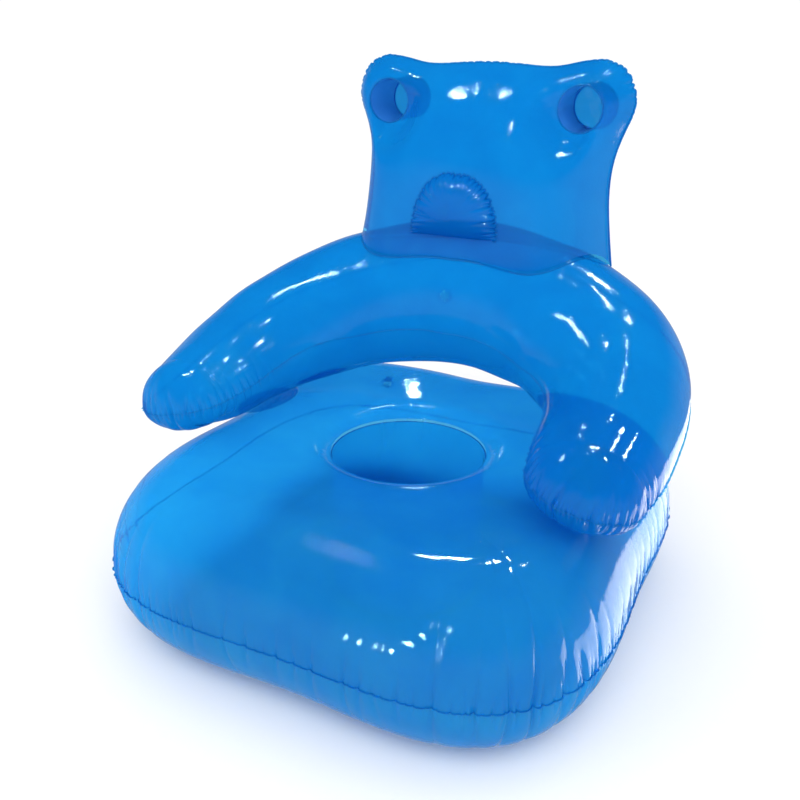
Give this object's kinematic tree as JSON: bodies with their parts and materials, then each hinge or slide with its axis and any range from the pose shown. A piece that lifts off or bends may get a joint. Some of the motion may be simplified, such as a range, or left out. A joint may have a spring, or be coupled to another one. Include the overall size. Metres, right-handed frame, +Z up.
{
  "type": "inflatable pool armchair",
  "caption": "Inflatable pool lounge chair in clear vinyl: square seat cushion with a round well, horseshoe arm tube and padded headrest with cup wells.",
  "frame": {"origin": "on the ground, under the middle of the seat cushion", "axes": "+Z up, the sitter faces -Y, +X is the right-hand side seen from the front"},
  "size_m": [0.9934, 0.9593, 0.9914],
  "materials": {
    "clear_blue_vinyl": "clear tinted gloss film",
    "welded_vinyl": "welded double film",
    "valve_vinyl": "moulded translucent vinyl"
  },
  "bodies": {
    "float": {"seat_top_skin": "clear_blue_vinyl", "seat_bottom_skin": "clear_blue_vinyl", "seat_well_wall": "clear_blue_vinyl", "seat_well_floor": "clear_blue_vinyl", "arm_ring_upper_skin": "clear_blue_vinyl", "arm_ring_lower_skin": "clear_blue_vinyl", "left_arm_weld_patch": "welded_vinyl", "right_arm_weld_patch": "welded_vinyl", "seat_valve_flange": "valve_vinyl", "arm_valve_flange": "valve_vinyl"},
    "headrest": {"headrest_front_skin": "clear_blue_vinyl", "headrest_rear_skin": "clear_blue_vinyl", "neck_pad": "clear_blue_vinyl", "left_cup_wall": "clear_blue_vinyl", "left_cup_floor": "clear_blue_vinyl", "right_cup_wall": "clear_blue_vinyl", "right_cup_floor": "clear_blue_vinyl", "headrest_valve_flange": "valve_vinyl"},
    "seat_valve": {"seat_valve_stem": "valve_vinyl"},
    "seat_check_flap": {"seat_valve_check_flap": "valve_vinyl"},
    "seat_cap": {"seat_valve_cap": "valve_vinyl", "seat_valve_cap_strap": "valve_vinyl"},
    "arm_valve": {"arm_valve_stem": "valve_vinyl"},
    "arm_check_flap": {"arm_valve_check_flap": "valve_vinyl"},
    "arm_cap": {"arm_valve_cap": "valve_vinyl", "arm_valve_cap_strap": "valve_vinyl"},
    "headrest_valve": {"headrest_valve_stem": "valve_vinyl"},
    "headrest_check_flap": {"headrest_valve_check_flap": "valve_vinyl"},
    "headrest_cap": {"headrest_valve_cap": "valve_vinyl", "headrest_valve_cap_strap": "valve_vinyl"}
  },
  "joints": [
    {"name": "headrest_lean", "type": "hinge", "parent": "float", "child": "headrest", "pos_m": [0, 0.297, 0.526], "axis": [-1, 0, 0], "range_deg": [-3, 10]},
    {"name": "seat_valve_push_in", "type": "slide", "parent": "float", "child": "seat_valve", "axis": [0.2636, -0.8959, -0.3575], "range_m": [0, 0.012]},
    {"name": "seat_cap_pull", "type": "slide", "parent": "seat_valve", "child": "seat_cap", "axis": [-0.2636, 0.8959, 0.3575], "range_m": [0, 0.01]},
    {"name": "seat_check_flap_swing", "type": "hinge", "parent": "seat_valve", "child": "seat_check_flap", "pos_m": [-0.27368, 0.44527, 0.20577], "axis": [-0.174, -0.4087, 0.8959], "range_deg": [0, 40]},
    {"name": "arm_valve_push_in", "type": "slide", "parent": "float", "child": "arm_valve", "axis": [0.1579, -0.9296, 0.3331], "range_m": [0, 0.012]},
    {"name": "arm_cap_pull", "type": "slide", "parent": "arm_valve", "child": "arm_cap", "axis": [-0.1579, 0.9296, -0.3331], "range_m": [0, 0.01]},
    {"name": "arm_check_flap_swing", "type": "hinge", "parent": "arm_valve", "child": "arm_check_flap", "pos_m": [-0.11289, 0.42095, 0.47629], "axis": [-0.2201, 0.2957, 0.9296], "range_deg": [0, 40]},
    {"name": "headrest_valve_push_in", "type": "slide", "parent": "headrest", "child": "headrest_valve", "axis": [0.3505, -0.933, 0.0823], "range_m": [0, 0.012]},
    {"name": "headrest_cap_pull", "type": "slide", "parent": "headrest_valve", "child": "headrest_cap", "axis": [-0.3505, 0.933, -0.0823], "range_m": [0, 0.01]},
    {"name": "headrest_check_flap_swing", "type": "hinge", "parent": "headrest_valve", "child": "headrest_check_flap", "pos_m": [-0.12303, 0.43702, 0.66881], "axis": [-0.3563, -0.0515, 0.933], "range_deg": [0, 40]}
  ]
}
